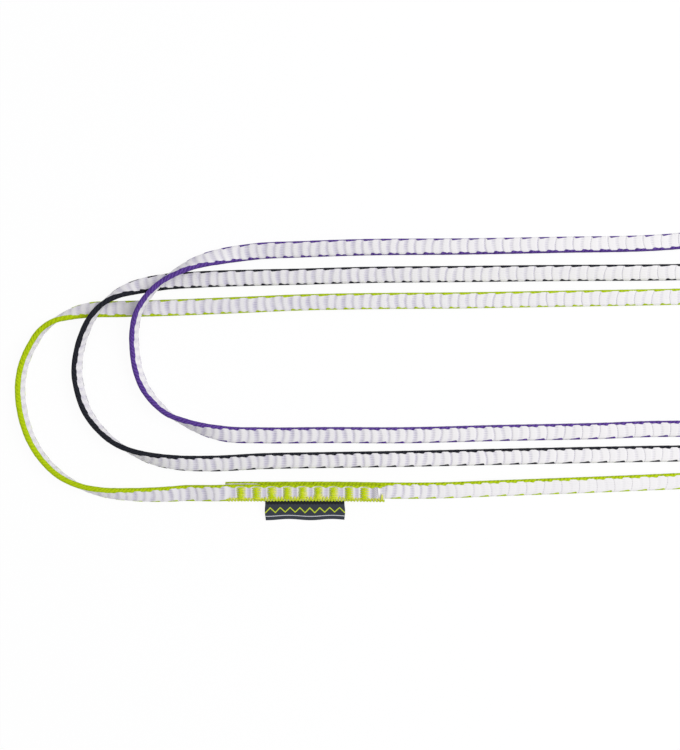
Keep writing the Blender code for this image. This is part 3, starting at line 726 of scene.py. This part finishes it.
def edge_section(growth, turn, run):
    """A shell over one edge, whose border swings in and out with the weave."""
    side, lean = growth.size("Side"), growth.number("lean")
    drawn = turn.rise(0.0, OUTER_SHARE, "LINEAR")
    hidden = turn.rise(OUTER_SHARE, 1.0, "LINEAR")
    sweep = (drawn + hidden) * math.pi
    outer_phase = (run / WEAVE_PERIOD).fraction()
    inner_phase = (run / WEAVE_PERIOD + INNER_START).fraction()
    swell = mixed(outer_phase.rise(*OUTER_SWELL_RANGE), OUTER_SWELL, 1.0)
    outer_tooth = floats(outer_phase, *OUTER_FLOAT) * swell
    inner_tooth = sum(floats(inner_phase, *places) * high for places, high in INNER_FLOATS)
    flat = lean.rise(*LEAN_RANGE)
    outer_reach = outer_tooth * mixed(flat, *OUTER_TOOTH) + mixed(flat, *OUTER_LEAST)
    inner_least = mixed(flat, *INNER_LEAST) + lean.rise(*UPRIGHT_RANGE) * growth.size("Upright")
    inner_reach = inner_tooth * mixed(flat, *INNER_TOOTH) + inner_least
    cusp = (growth.number("tacks") * (2 * math.pi)).cosine() * -0.5 + 0.5
    sewn_reach = cusp ** CUSP_POWER * TACK_CUSP + INNER_LEAST[1]
    inner_reach = mixed(growth.number("sewn"), inner_reach, sewn_reach)
    lower_reach = mixed(run.rise(*DOUBLED_RANGE), *LOWER_REACH)
    inner_reach = mixed(run.rise(*LOWER_END), lower_reach, inner_reach)
    inner_side = side.rise(-0.5, 0.5, "LINEAR")
    tooth = mixed(inner_side, outer_tooth, inner_tooth)
    angle = sweep.cosine() * mixed(inner_side, outer_reach, inner_reach)
    lift = sweep.sine()
    proud = lift.math("MAXIMUM", 0.0) * mixed(tooth, *EDGE_PROUD)
    proud = proud + lift.math("MINIMUM", 0.0) * EDGE_BURIED
    across = angle.cosine() * (proud + HALF_THICKNESS) + NOSE_PLACE
    out = angle.sine() * (proud + HALF_THICKNESS)
    return across * side, out * side


edging = Growth("woven_edge", Side=1.0, Upright=0.0)
swept(edging, edge_section, EDGE_SIDES, EDGE_STEP)

edges = {}
for colour in COLOURS:
    light, dark = YARN_COLOURS[colour]
    yarn = Surface(colour + "_yarn", light, roughness=0.7)
    run, _, out = yarn.weave()
    twisted = run + out * TWILL_SLOPE + yarn.noise(DRIFT_SCALE) * DRIFT
    twill = (twisted * (2 * math.pi / TWILL_PITCH)).sine() * 0.5 + 0.5
    yarn.shade((1 - twill.rise(*TWILL_RANGE)) * TWILL_SHADE, dark)
    yarn.emboss(twill, TWILL_RELIEF)
    edges[colour] = []
    for label, side in (("inner", 1.0), ("outer", -1.0)):
        piece = edging.grow(
            f"{colour}_{label}_binding", bases[colour].copy(), yarn.material,
            Side=side, Upright=UPRIGHT_REACH[colour],
        )
        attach(piece, colour + "_sling")
        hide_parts(f"{colour}_{label}_edge")
        colour + "_yarn"
        edges[colour].append(piece)

# Bar tacks and edge stitching
# Each tack is a dense zigzag of sewing thread over both faces of the lap. Its turns stand out
# as six teeth on each side. A finer zigzag runs along the lap's outer edge.
TACK_LENGTH = 4.5 * MM
TACK_SPAN = 5.6 * MM
LOWER_TACK_SHIFT = 0.3 * MM
TACK_PASSES = 12
TACK_MOUND = 0.55 * MM
TACK_SINK = 0.14 * MM
MOUND_POWER = 3
TACK_SEED = 7
THREAD_SIZE = 0.52 * MM
THREAD_TAPER = 0.6
POINTS_PER_PASS = 6
THREAD_SIDES = 7
TOOTH_JITTER = 0.12
SEAM_PITCH = 1.55 * MM
SEAM_THREAD = 0.52 * MM
SEAM_RADIUS = HALF_THICKNESS + SEAM_THREAD / 3
SEAM_LOW = math.radians(-25)
SEAM_TURN = 0.55
SEAM_POINTS = 10
SEAM_BITE = 0.3 * MM
LABEL_BITE = 1.0 * MM
LABEL_START, LABEL_STOP = (1.3, 1.8), (6.4, 6.9)
END_BITE = 2.4 * MM
END_RANGE = (1.2 * MM, 2.6 * MM)
SEAM_END = 0.4 * MM
THREAD_COLOURS = {
    "green": ((0.53, 0.66, 0.005), (0.78, 0.78, 0.1)),
    "black": ((0.02, 0.021, 0.026), (0.045, 0.046, 0.055)),
    "violet": ((0.12, 0.06, 0.27), (0.22, 0.13, 0.42)),
}
# Painted light: a tack is paler on one side, the zigzag paler on the face; jitter is random tone
TURN_PAINTED_LIGHT, JITTER_PALENESS, LEAST_PALENESS = 0.7, 0.8, 0.1


def corded(growth, line, size, swell=1.0):
    """Turns a polyline into round thread and closes the tree."""
    curve = growth.node("MeshToCurve", Mesh=line).outputs["Curve"]
    ring = growth.node("CurvePrimitiveCircle", Resolution=THREAD_SIDES, Radius=size / 2)
    ring = ring.outputs["Curve"]
    tube = growth.node("CurveToMesh", Curve=curve, Profile_Curve=ring, Scale=swell, Fill_Caps=True)
    growth.finish(tube.outputs["Mesh"])


def tack_growth():
    """A zigzag on each tack place, mounded over the face, with turns of uneven length."""
    growth = Growth("bar_tack")
    count = TACK_PASSES * POINTS_PER_PASS + 1
    line = growth.node("MeshLine", Count=count, Offset=(0, 0, 0)).outputs["Mesh"]
    places = growth.entry.outputs["Geometry"]
    lines = growth.node("InstanceOnPoints", Points=places, Instance=line).outputs["Instances"]
    loose = growth.node("RealizeInstances", Geometry=lines).outputs["Geometry"]
    index = Value(growth.tree, growth.node("InputIndex").outputs["Index"])
    step = index.math("MODULO", count)
    passes = (step / POINTS_PER_PASS).math("FLOOR") + growth.number("seed") * count
    random = growth.node("FunctionNodeRandomValue", ID=passes, Seed=TACK_SEED)
    jitter = Value(growth.tree, random.outputs[1]) - 0.5
    wave = ((step / (2 * POINTS_PER_PASS)).fraction() * 2 - 1).size() * 2 - 1
    along = wave * (TACK_LENGTH / 2) * (jitter * (2 * TOOTH_JITTER) + 1)
    over = (step / (count - 1) - 0.5) * TACK_SPAN
    mound = mixed(wave.size() ** MOUND_POWER, TACK_MOUND, -TACK_SINK)
    here = growth.node("InputPosition").outputs["Position"]
    ways = [growth.read(name, "FLOAT_VECTOR") for name in ("along", "inward", "face")]
    place = growth.stepped(here, *zip(ways, (along, over, mound)))
    marked = growth.keep(loose, "weave", growth.vector(step, wave, jitter), "FLOAT_VECTOR")
    marked = growth.keep(marked, "reach", wave)
    moved = growth.node("SetPosition", Geometry=marked, Position=place).outputs["Geometry"]
    thin_ends = 1.0 - growth.number("reach") ** 2 * THREAD_TAPER
    corded(growth, moved, THREAD_SIZE, thin_ends)
    return growth


def tack_places(strip):
    """Points on the lap's upper and lower face with the directions that a tack follows."""
    in_lap = FIRST_TACK_MARGIN + np.arange(TACK_COUNT) * TACK_PITCH
    upper, inward, face = strip.frames(in_lap + strip.loop)
    lower, _, _ = strip.frames(in_lap)
    along = np.cross(inward, face)
    above = upper + face * HALF_THICKNESS
    below = lower - face * HALF_THICKNESS - inward * LOWER_TACK_SHIFT
    mesh = bpy.data.meshes.new("tack_places")
    mesh.from_pydata(np.vstack([above, below]).tolist(), [], [])
    for name, vectors in (
        ("along", np.vstack([along, along])),
        ("inward", np.vstack([inward, inward])),
        ("face", np.vstack([face, -face])),
    ):
        made = mesh.attributes.new(name, "FLOAT_VECTOR", "POINT")
        made.data.foreach_set("vector", vectors.ravel())
    seeds = np.arange(2.0 * TACK_COUNT)
    mesh.attributes.new("seed", "FLOAT", "POINT").data.foreach_set("value", seeds)
    return mesh


def seam_growth():
    """A zigzag from the lap's side, round its edge and on to its face, deeper over the label."""
    growth = Growth("edge_stitch")
    run, tacks = growth.number("run"), growth.number("tacks")
    wave = ((run / SEAM_PITCH).fraction() * 2 - 1).size()
    angle = mixed(wave.rise(0.0, SEAM_TURN, "LINEAR"), SEAM_LOW, math.pi / 2)
    on_label = tacks.rise(*LABEL_START) * (1 - tacks.rise(*LABEL_STOP))
    at_end = 1 - growth.number("end").rise(*END_RANGE)
    bite = mixed(on_label, SEAM_BITE, LABEL_BITE) + at_end * END_BITE
    bitten = wave.rise(SEAM_TURN, 1.0, "LINEAR") * bite
    out = angle.sine() * SEAM_RADIUS
    across = angle.cosine() * SEAM_RADIUS + NOSE_PLACE - bitten
    here = growth.node("InputPosition").outputs["Position"]
    inward, face = growth.read("inward", "FLOAT_VECTOR"), growth.read("face", "FLOAT_VECTOR")
    place = growth.stepped(here, (inward, across * -1), (face, out))
    line = growth.entry.outputs["Geometry"]
    marked = growth.keep(line, "weave", growth.vector(run, wave), "FLOAT_VECTOR")
    moved = growth.node("SetPosition", Geometry=marked, Position=place).outputs["Geometry"]
    corded(growth, moved, SEAM_THREAD)
    return growth


tacking, seaming = tack_growth(), seam_growth()
stitches = {}
for colour in COLOURS:
    strip = strips[colour]
    deep, pale = THREAD_COLOURS[colour]
    thread = Surface(colour + "_thread", deep, roughness=0.55)
    _, wave, jitter = thread.weave()
    # Painted light on one side of each tack and on the zigzag's face, with random tone per pass
    painted_light_and_tone = wave * TURN_PAINTED_LIGHT + jitter * JITTER_PALENESS + LEAST_PALENESS
    thread.shade(painted_light_and_tone.rise(0.0, 1.0), pale)
    tacks = tacking.grow(colour + "_tack_thread", tack_places(strip), thread.material)
    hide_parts(*(f"{colour}_bar_tack_{i + 1}" for i in range(TACK_COUNT)))
    seam_line = strip.stations(
        strip.loop + SEAM_PITCH, strip.length - SEAM_END, SEAM_PITCH / SEAM_POINTS
    )
    seam = seaming.grow(colour + "_edge_stitch", seam_line, thread.material)
    stitches[colour] = [tacks, seam]
    for piece in stitches[colour]:
        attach(piece, colour + "_sling")
        colour + "_thread"

# Labels
# A label is a charcoal woven tape folded double. Its ends are sewn between the two layers and
# its fold hangs out beside the lap, down to the table. Its stripes are a plain design.
LABEL_LENGTH = 38.3 * MM
LABEL_DROP = 9.9 * MM
LABEL_TAPE = 0.35 * MM
LABEL_FOLD = 1.0 * MM
LABEL_INNER_END = 0.2 * MM
LABEL_CLEARANCE = 0.3 * MM
SEAM_OUT = (WEB_WIDTH + UPPER_SHIFT + LABEL_FOLD) / 2 + LABEL_CLEARANCE
SEAM_HEIGHT = 3.85 * MM
LABEL_BEND = 1.6 * MM
LABEL_ROWS = 64
PLY_POINTS = 30
FOLD_POINTS = 8
WAVE_LENGTH = 21.0 * MM
WAVE_HEIGHT = 0.3 * MM
WAVE_START = 0.8
WAVE_LIFT = 1.5
SIDE_BOW = 0.35 * MM


def label_line():
    """The tape's middle from its upper end round the fold to its lower end: out and up."""
    half_fold = (LABEL_FOLD - LABEL_TAPE) / 2
    droop = math.asin((SEAM_HEIGHT - LABEL_FOLD / 2) / (LABEL_DROP - LABEL_FOLD / 2))
    reach = SEAM_OUT - LABEL_INNER_END + LABEL_DROP - LABEL_FOLD / 2
    goes = np.linspace(0, reach, PLY_POINTS)
    seam = SEAM_OUT - LABEL_INNER_END
    slopes = droop * smooth_step((goes - seam + LABEL_BEND / 2) / LABEL_BEND)
    steps = np.gradient(goes)
    out = LABEL_INNER_END + np.concatenate([[0], np.cumsum((np.cos(slopes) * steps)[1:])])
    up = SEAM_HEIGHT - np.concatenate([[0], np.cumsum((np.sin(slopes) * steps)[1:])])
    ply_gap = mixed(smooth_step((goes - seam) / LABEL_DROP), LABEL_TAPE / 2, half_fold)
    normal = np.column_stack([np.sin(slopes), np.cos(slopes)])
    middle = np.column_stack([out, up])
    upper = middle + normal * ply_gap[:, None]
    lower = middle - normal * ply_gap[:, None]
    turns = np.linspace(0, math.pi, FOLD_POINTS + 2)[1:-1]
    ahead = np.array([math.cos(droop), -math.sin(droop)])
    fold = middle[-1] + half_fold * (
        np.sin(turns)[:, None] * ahead + np.cos(turns)[:, None] * normal[-1]
    )
    return np.vstack([upper, fold, lower[::-1]])


def label_mesh(name, strip):
    """The tape's mesh, with the seam's place, the way out from it and the tape's whole length."""
    line = label_line()
    way = np.gradient(line, axis=0)
    way /= np.linalg.norm(way, axis=1)[:, None]
    normal = np.column_stack([-way[:, 1], way[:, 0]]) * (LABEL_TAPE / 2)
    runs = np.concatenate([[0], np.cumsum(np.linalg.norm(np.diff(line, axis=0), axis=1))])
    section = np.vstack([line + normal, (line - normal)[::-1]])
    section_runs = np.concatenate([runs, runs[::-1]])
    count, half = len(section), len(line)
    lap_middle = LAP_LENGTH / 2
    lower, upper = strip.centre(np.array([lap_middle, lap_middle + strip.loop]))
    along = strip.heading(np.array([lap_middle]))[0]
    outward = np.cross(along, (0, 0, 1))
    centre = (lower + upper) / 2 * (1, 1, 0)
    vertices, weave = [], []
    for place in np.linspace(-0.5, 0.5, LABEL_ROWS):
        hang = smooth_step((section[:, 0] - SEAM_OUT) / LABEL_DROP)
        turn = place * LABEL_LENGTH / WAVE_LENGTH * 2 * math.pi + WAVE_START
        wave = np.sin(turn) * WAVE_HEIGHT
        bow = SIDE_BOW * np.sin(hang * math.pi) * 2 * place
        x = place * LABEL_LENGTH + bow
        out = section[:, 0] + hang * wave
        up = section[:, 1] + hang * (1 - hang) * wave * WAVE_LIFT
        row = centre + x[:, None] * along + out[:, None] * outward
        row[:, 2] = up
        vertices.append(row)
        weave.append(np.column_stack([x, section_runs, np.zeros(count)]))
    faces = []
    for row in range(LABEL_ROWS - 1):
        for i in range(count):
            j = (i + 1) % count
            a, b = row * count, (row + 1) * count
            faces.append((a + i, a + j, b + j, b + i))
    for row, flip in ((0, False), (LABEL_ROWS - 1, True)):
        for i in range(half - 1):
            corners = [row * count + k for k in (i, count - 1 - i, count - 2 - i, i + 1)]
            faces.append(corners[::-1] if flip else corners)
    mesh = bpy.data.meshes.new(name)
    mesh.from_pydata(np.vstack(vertices).tolist(), [], faces)
    made = mesh.attributes.new("weave", "FLOAT_VECTOR", "POINT")
    made.data.foreach_set("vector", np.vstack(weave).ravel())
    mesh.polygons.foreach_set("use_smooth", [True] * len(faces))
    seam = centre + outward * SEAM_OUT + np.array((0, 0, SEAM_HEIGHT))
    return mesh, seam, outward, runs[-1]


LABEL_CHARCOAL = (0.042, 0.048, 0.062)
TAPE_SEAM = SEAM_OUT - LABEL_INNER_END
STRIPE_LIME = (0.55, 0.66, 0.03)
ZIGZAG_PLACE = TAPE_SEAM + 4.4 * MM
ZIGZAG_PITCH = 4.8 * MM
ZIGZAG_HEIGHT = 2.6 * MM
ZIGZAG_THINNING = 0.68
ZIGZAG_BORDER = (0.2 * MM, 0.3 * MM)
STRIPE_PALE = (0.62, 0.63, 0.66)
PALE_PLACE = TAPE_SEAM + 7.6 * MM
PALE_BORDER = (0.15 * MM, 0.25 * MM)
PAINTED_STITCH_SHADOW = (0.006, 0.006, 0.008)
TOP_PLACE = TAPE_SEAM + 0.6 * MM
TOP_BORDER = 0.5 * MM
TOP_SCALLOP = 0.5 * MM
TOP_STRENGTH = 0.75
TAPE_RIB = 0.36 * MM
TAPE_RELIEF = 0.05 * MM

tape = Surface("label_tape", LABEL_CHARCOAL, roughness=0.6)
along, down, _ = tape.weave()
swing = ((along / ZIGZAG_PITCH).fraction() - 0.5).size() * (2 * ZIGZAG_HEIGHT)
off_zigzag = (down - swing - ZIGZAG_PLACE + ZIGZAG_HEIGHT / 2).size() * ZIGZAG_THINNING
off_line = (down - PALE_PLACE).size()
tape.shade(1 - off_zigzag.rise(*ZIGZAG_BORDER), STRIPE_LIME)
tape.shade(1 - off_line.rise(*PALE_BORDER), STRIPE_PALE)
# Painted shadow: the tape darkens in scallops along its top, under the edge stitching
scallop = (along * (math.pi / SEAM_PITCH)).sine().size() * TOP_SCALLOP
under_top = (down - scallop - TOP_PLACE).rise(0.0, TOP_BORDER)
tape.shade((1 - under_top) * TOP_STRENGTH, PAINTED_STITCH_SHADOW)
ribs = (along * (2 * math.pi / TAPE_RIB)).sine() * (down * (2 * math.pi / TAPE_RIB)).sine()
tape.emboss(ribs * 0.5 + 0.5, TAPE_RELIEF)

for colour in COLOURS:
    mesh, seam, outward, tape_length = label_mesh(colour + "_label_tape", strips[colour])
    label = bpy.data.objects.new(colour + "_label_tape", mesh)
    mesh.materials.append(tape.material)
    bpy.context.scene.collection.objects.link(label)
    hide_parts(colour + "_label_tab", colour + "_label_flap")
    start, end = seam - outward * LABEL_TAPE, seam + outward * LABEL_TAPE
    colour + "_sling"
    colour + "_label"
    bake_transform(label)

# Floor and light
# A white table and white walls, lit by one broad soft lamp from the right and above. What is
# seen of the table and walls is clear white, and the table keeps a faint shadow.
FLOOR_HALF = 1.6
FLOOR_GLOW_SHARE = 0.93
FLOOR_WHITE = (0.95, 0.95, 0.95)
FLOOR_ROUGHNESS = 0.9
LAMP_PLACE = (0.72, 0.12, 1.0)
LAMP_SIZE = 0.9
LAMP_POWER = 11.3
SKY_COLOUR = (0.97, 0.97, 1.0)
SKY_STRENGTH = 0.62

floor_mesh = bpy.data.meshes.new("floor")
corners = [(x * FLOOR_HALF, y * FLOOR_HALF, 0) for x, y in ((-1, -1), (1, -1), (1, 1), (-1, 1))]
floor_mesh.from_pydata(corners, [], [(0, 1, 2, 3)])
floor = bpy.data.objects.new("floor", floor_mesh)
bpy.context.scene.collection.objects.link(floor)


def show_white(tree, lit, white, output, share=1.0):
    """Shows clear white to what looks at it, and gives its light or shading to the rest."""
    ray = tree.nodes.new("ShaderNodeLightPath")
    seen = Value(tree, ray.outputs["Is Camera Ray"])
    for kind in ("Is Glossy Ray", "Is Transmission Ray"):
        seen = seen.math("MAXIMUM", Value(tree, ray.outputs[kind]))
    mix = tree.nodes.new("ShaderNodeMixShader")
    tree.links.new((seen * share).source, mix.inputs["Fac"])
    tree.links.new(lit.outputs[0], mix.inputs[1])
    tree.links.new(white.outputs[0], mix.inputs[2])
    tree.links.new(mix.outputs[0], output.inputs["Surface"])


table = bpy.data.materials.new("table_white")
table.use_nodes = True
nodes = table.node_tree.nodes
matt = nodes["Principled BSDF"]
matt.inputs["Base Color"].default_value = (*FLOOR_WHITE, 1)
matt.inputs["Roughness"].default_value = FLOOR_ROUGHNESS
glow = nodes.new("ShaderNodeEmission")
show_white(table.node_tree, matt, glow, nodes["Material Output"], FLOOR_GLOW_SHARE)
floor_mesh.materials.append(table)

walls = bpy.data.worlds.new("white_walls")
walls.use_nodes = True
nodes = walls.node_tree.nodes
light = nodes["Background"]
light.inputs["Color"].default_value = (*SKY_COLOUR, 1)
light.inputs["Strength"].default_value = SKY_STRENGTH
seen_white = nodes.new("ShaderNodeBackground")
seen_white.inputs["Color"].default_value = (1, 1, 1, 1)
show_white(walls.node_tree, light, seen_white, nodes["World Output"])
bpy.context.scene.world = walls

lamp_data = bpy.data.lights.new("soft_lamp", "AREA")
lamp_data.shape = "DISK"
lamp_data.size = LAMP_SIZE
lamp_data.energy = LAMP_POWER
lamp = bpy.data.objects.new("soft_lamp", lamp_data)
lamp.location = LAMP_PLACE
lamp.rotation_euler = Vector(LAMP_PLACE).to_track_quat("Z", "Y").to_euler()
bpy.context.scene.collection.objects.link(lamp)

# Webbing paths
# Each webbing bends anywhere along its length. Its middle is taken at evenly spread points,
# from its lower cut end round to its upper one.
PATH_POINTS = 400

for colour in COLOURS:
    strip = strips[colour]
    path = strip.centre(np.linspace(0, strip.length, PATH_POINTS))

bpy.context.scene.view_settings.view_transform = "Standard"
